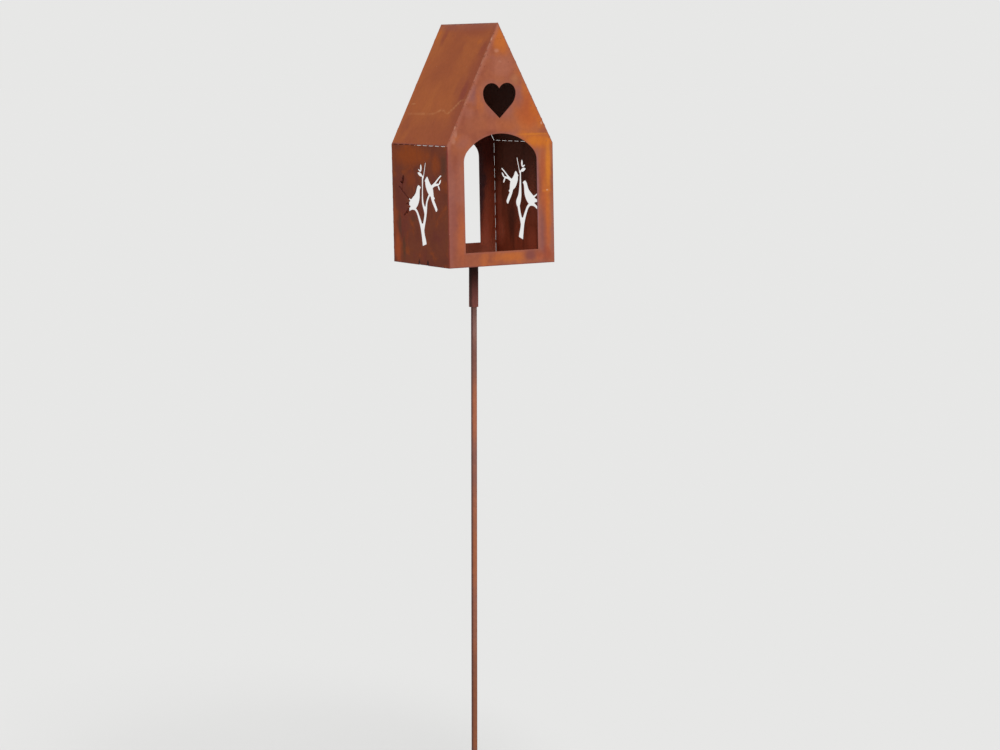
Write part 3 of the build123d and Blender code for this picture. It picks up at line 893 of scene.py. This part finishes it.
def gridPiece(name, grids, material):
    # each grid is rows x columns x 3: rows run along the piece and columns go round it; rows that close
    # up to a point, and the last row of a closed ring, are merged
    points, faces, start = [], [], 0
    for grid in grids:
        rows, columns = grid.shape[:2]
        row, column = np.meshgrid(np.arange(rows - 1), np.arange(columns), indexing="ij")
        beside = (column + 1) % columns
        quads = np.stack([row * columns + column, row * columns + beside,
                          (row + 1) * columns + beside, (row + 1) * columns + column], -1)
        points.append(grid.reshape(-1, 3))
        faces.append(quads.reshape(-1, 4) + start)
        start += rows * columns
    mesh = bpy.data.meshes.new(name)
    mesh.from_pydata(toFrame(np.concatenate(points)).tolist(), [], np.concatenate(faces).tolist())
    shape = bmesh.new()
    shape.from_mesh(mesh)
    bmesh.ops.remove_doubles(shape, verts=shape.verts, dist=1e-6)
    bmesh.ops.recalc_face_normals(shape, faces=shape.faces)
    shape.to_mesh(mesh)
    shape.free()
    mesh.polygons.foreach_set("use_smooth", np.ones(len(mesh.polygons), bool))
    mesh.materials.append(material)
    piece = bpy.data.objects.new(name, mesh)
    bpy.context.scene.collection.objects.link(piece)
    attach(piece, "root")
    return piece


def gridAxes(values):
    # u runs from 0 to 1 along a piece and v once round it
    u = np.linspace(0, 1, values["rows"])[:, None]
    v = np.linspace(0, 2 * pi, values["columns"], endpoint=False)[None, :]
    return u, v


def slopeAxes(side):
    # up a roof slope and straight out of it
    up = np.array((-side * halfWidth, 0, roofRise)) / slopeLength
    out = np.array((side * roofRise, 0, halfWidth)) / slopeLength
    return up, out


def bead(start, end, across, out, values):
    # a run of weld: an ellipse carried from start to end, closed at both ends by (1 - |2u - 1|^p)^(1/2)
    # and rippled by 1 + ripple cos(2 pi (count u - lag cos v)), v being the angle round the ellipse
    start, end, across, out = (np.array(each, float) for each in (start, end, across, out))
    u, v = gridAxes(values)
    size = np.sqrt(1 - np.abs(2 * u - 1) ** values["blunt"])
    ripple = 1 + values["ripple"] * np.cos(2 * pi * (values["ripples"] * u - values["lag"] * np.cos(v)))
    line = start + u[..., None] * (end - start)
    wide = (size * ripple * np.cos(v))[..., None] * across * values["width"] / 2
    tall = (size * ripple * np.sin(v))[..., None] * out * values["height"] / 2
    return line + wide + tall


seamTack = {"rows": 40, "columns": 20, "blunt": 6, "ripple": 0.07, "ripples": 5, "lag": 0.22,
            "length": 8.0, "width": 2.1, "height": 2.0, "places": (0.12, 0.5, 0.88),
            "behind": 0.85, "under": 1.25}  # its middle, from the roof's back edge and from the slope


def seamTackBeads(side):
    # short welds on the back gable's edge, up against the end of the roof
    run = slopeLength - (house["sheet"] + house["seamGap"]) / (halfWidth / roofRise)
    up, out = slopeAxes(side)
    eave = np.array((side * halfWidth, halfDepth + seamTack["behind"], house["eaves"]))
    seam = eave - out * seamTack["under"]
    half = up * seamTack["length"] / 2
    return [bead(seam + up * run * place - half, seam + up * run * place + half, (0, 1, 0), out, seamTack)
            for place in seamTack["places"]]


floorTack = {"rows": 56, "columns": 20, "blunt": 8, "ripple": 0.08, "ripples": 9, "lag": 0.22,
             "length": 14.0, "width": 3.2, "height": 2.6, "places": (-60.0, 60.0), "top": 3.0,
             "out": 0.7}  # its middle, from the wall and from the floor's top


def floorTackBeads(side):
    # corner welds between the floor's top and the front or back wall
    face = backInside if side > 0 else house["sheet"] - halfDepth
    out = np.array((0, -side, 1)) / sqrt(2)
    across = np.array((0, side, 1)) / sqrt(2)
    seat = np.array((0, face - side * floorTack["out"], floorTack["top"] + floorTack["out"]))
    half = np.array((floorTack["length"] / 2, 0, 0))
    return [bead(seat + (place, 0, 0) - half, seat + (place, 0, 0) + half, across, out, floorTack)
            for place in floorTack["places"]]


socketBead = {"rows": 241, "columns": 20, "ringRadius": 8.9, "width": 3.9, "height": 3.0,
              "ripple": 0.09, "ripples": 36, "lag": 0.25, "top": 0.1,
              "lump": 0.16, "lumpSpan": 0.02,  # where the run ends on its own start; its span in turns
              "shift": 0.5}  # of the tube from the bar's middle, to the lean's side


def socketBeadRing():
    # fillet weld round the socket: an ellipse tipped 45 degrees and carried round a circle under the floor,
    # with a straight bead's ripples and a lump of 1 + lump exp(-((u - 1/2) / lumpSpan)^2)
    values = socketBead
    u, v = gridAxes(values)
    lump = 1 + values["lump"] * np.exp(-(((u - 0.5) / values["lumpSpan"]) ** 2))
    ripple = lump + values["ripple"] * np.cos(2 * pi * (values["ripples"] * u - values["lag"] * np.cos(v)))
    wide, tall = ripple * np.cos(v) * values["width"] / 2, ripple * np.sin(v) * values["height"] / 2
    radius = values["ringRadius"] + (wide + tall) / sqrt(2)
    height = values["top"] - values["height"] / 2 + (wide - tall) / sqrt(2)
    angle = 2 * pi * u
    ring = np.stack([radius * np.cos(angle), radius * np.sin(angle), height + 0 * angle], -1)
    return [ring + values["shift"] * np.array((cos(bearing), sin(bearing), 0))]


gableLump = {"rows": 13, "columns": 12, "blunt": 2, "ripple": 0.0, "ripples": 1, "lag": 0.0,
             "width": 2.5, "height": 2.1, "inset": 0.75,
             "left": ((12, 4), (23, 6), (41, 11), (58, 3), (74, 5), (92, 4), (104, 3), (118, 6), (132, 3),
                      (147, 8), (165, 9), (174, 5), (190, 6), (205, 3)),
             "right": ((12, 4), (34, 7), (45, 5), (66, 3), (88, 4), (109, 3), (131, 4), (152, 6), (176, 4),
                       (198, 3))}


def gableLumps(side):
    # low lumps that the grinder left on a front gable's weld: short beads half sunk in the edge, each given
    # by its distance up from the eave and its length
    up, out = slopeAxes(side)
    outwards = (out - (0, 1, 0)) / sqrt(2)
    across = (out + (0, 1, 0)) / sqrt(2)
    edge = np.array((side * halfWidth, -halfDepth, house["eaves"])) - outwards * gableLump["inset"] * sqrt(2)
    places = gableLump["left" if side < 0 else "right"]
    return [bead(edge + up * (place - length / 2), edge + up * (place + length / 2), across, outwards,
                 gableLump) for place, length in places]


spatter = {"seed": 11, "count": 46, "rows": 5, "columns": 8, "radius": (0.35, 0.8), "flat": 0.55,
           "nearest": 2.0, "away": 12.0, "from": 8.0, "upTo": 214.0, "roofShare": 0.4}


def spatterDrops(side):
    # weld spatter beside a front gable's edge: flattened half balls on the front wall and on the roof,
    # thinning out with their distance from the weld
    draw = np.random.default_rng(spatter["seed"] + side)
    count = spatter["count"]
    up, out = slopeAxes(side)
    edge = np.array((side * halfWidth, -halfDepth, house["eaves"]))
    along = draw.uniform(spatter["from"], spatter["upTo"], count)
    away = spatter["nearest"] + spatter["away"] * draw.random(count) ** 2
    radius = draw.uniform(*spatter["radius"], count)
    onRoof = draw.random(count) < spatter["roofShare"]
    inFront = np.array((0, -1.0, 0))
    u = np.linspace(0, pi, spatter["rows"])[:, None]
    v = np.linspace(0, 2 * pi, spatter["columns"], endpoint=False)[None, :]
    drops = []
    for i in range(count):
        normal, sideways = (out, -inFront) if onRoof[i] else (inFront, -out)
        centre = edge + up * along[i] + sideways * away[i]
        if not onRoof[i] and abs(centre[0]) < radius[i]:
            continue
        ball = (np.sin(u) * np.cos(v))[..., None] * up + (np.sin(u) * np.sin(v))[..., None] * sideways
        lift = (np.cos(u) + 0 * v)[..., None] * normal * spatter["flat"]
        drops.append(centre + radius[i] * (ball + lift))
    return drops


lumpMaterial = materials["weldLumpRust"]
for side, name in ((-1, "left"), (1, "right")):
    gridPiece("front_" + name + "_gable_lumps", gableLumps(side), lumpMaterial)
    gridPiece("front_" + name + "_gable_spatter", spatterDrops(side), lumpMaterial)

rawWeldMaterial = materials["rawWeldRust"]
for side, tacks, floorTacks in ((-1, "back_left_gable_tacks", "front_floor_tacks"),
                                (1, "back_right_gable_tacks", "back_floor_tacks")):
    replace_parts(gridPiece(tacks + "_beads", seamTackBeads(side), rawWeldMaterial), tacks)
    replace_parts(gridPiece(floorTacks + "_beads", floorTackBeads(side), rawWeldMaterial),
                floorTacks)
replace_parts(gridPiece("socket_weld_bead", socketBeadRing(), rawWeldMaterial), "socket_weld")
print("weld beads made")

# Studio

studio = {
    "sunFrom": (-0.06, -0.58, 0.81),
    "sunSpread": 34.0,  # degrees, as wide as a large soft box
    "sunLevel": 1.1,  # light on a surface that faces it, where 1 shows a colour as written
    "skyLevel": 0.41,
    "paleLevel": 0.8,  # of the floor and the backdrop, as the camera sees them
    "paleBlue": 0.99,  # their blue, as a share of their red and green
    "floorBounce": 0.25,
    "floorRadius": 90.0,
    "floorSides": 96,
}


def seenShare(tree):
    # 1 for what the camera sees, also in gloss and through glass
    path = addNode(tree, "LightPath").outputs
    seen = reckon(tree, "MAXIMUM", path["Is Camera Ray"], path["Is Glossy Ray"])
    return reckon(tree, "MAXIMUM", seen, path["Is Transmission Ray"])


def stageColour(tree, level, seen):
    # one grey for the light it gives, and another, slightly yellow, for what the camera sees
    return mixColour(tree, seenShare(tree), (level, level, level, 1),
                     (seen, seen, seen * studio["paleBlue"], 1))


def makeFloor():
    sunDown = Vector(studio["sunFrom"]).normalized().z * studio["sunLevel"]
    seen = studio["paleLevel"] / (sunDown + studio["skyLevel"])
    angle = np.linspace(0, 2 * pi, studio["floorSides"], endpoint=False)
    rim = studio["floorRadius"] * np.stack([np.cos(angle), np.sin(angle), 0 * angle], -1)
    mesh = bpy.data.meshes.new("studioFloor")
    mesh.from_pydata(rim.tolist(), [], [list(range(len(angle)))])
    material = bpy.data.materials.new("paleFloor")
    material.use_nodes = True
    tree = material.node_tree
    tree.nodes.remove(tree.nodes["Principled BSDF"])
    colour = stageColour(tree, studio["floorBounce"], seen)
    matt = addNode(tree, "BsdfDiffuse", {"Color": colour}).outputs[0]
    below = addNode(tree, "NewGeometry").outputs["Backfacing"]
    clear = addNode(tree, "BsdfTransparent").outputs[0]
    shown = addNode(tree, "MixShader", {0: below, 1: matt, 2: clear}).outputs[0]
    feed(tree, tree.nodes["Material Output"], {"Surface": shown})
    mesh.materials.append(material)
    floor = bpy.data.objects.new("studioFloor", mesh)
    bpy.context.scene.collection.objects.link(floor)


def makeLight():
    lamp = bpy.data.lights.new("softSun", "SUN")
    lamp.energy = studio["sunLevel"] * pi
    lamp.angle = radians(studio["sunSpread"])
    sun = bpy.data.objects.new("softSun", lamp)
    sun.rotation_euler = Vector(studio["sunFrom"]).to_track_quat("Z", "Y").to_euler()
    bpy.context.scene.collection.objects.link(sun)
    world = bpy.data.worlds.new("studioWorld")
    world.use_nodes = True
    tree = world.node_tree
    colour = stageColour(tree, studio["skyLevel"], studio["paleLevel"])
    feed(tree, tree.nodes["Background"], {"Color": colour, "Strength": 1.0})
    bpy.context.scene.world = world


photoView = {"place": (-2.1581, -3.9657, 1.4629), "pitch": 82.971, "heading": -29.117,  # metres, degrees
             "lens": 96.005, "sensor": 36.0,  # millimetres
             "clipNear": 0.1, "clipFar": 400.0}


def makeCamera():
    camera = bpy.data.cameras.new("photoCamera")
    camera.lens = photoView["lens"]
    camera.sensor_width = photoView["sensor"]
    camera.clip_start = photoView["clipNear"]
    camera.clip_end = photoView["clipFar"]
    stand = bpy.data.objects.new("photoCamera", camera)
    stand.location = photoView["place"]
    stand.rotation_euler = (radians(photoView["pitch"]), 0, radians(photoView["heading"]))
    bpy.context.scene.collection.objects.link(stand)
    bpy.context.scene.camera = stand


makeFloor()
makeLight()
makeCamera()
bpy.context.scene.view_settings.view_transform = "Standard"
print("studio made")
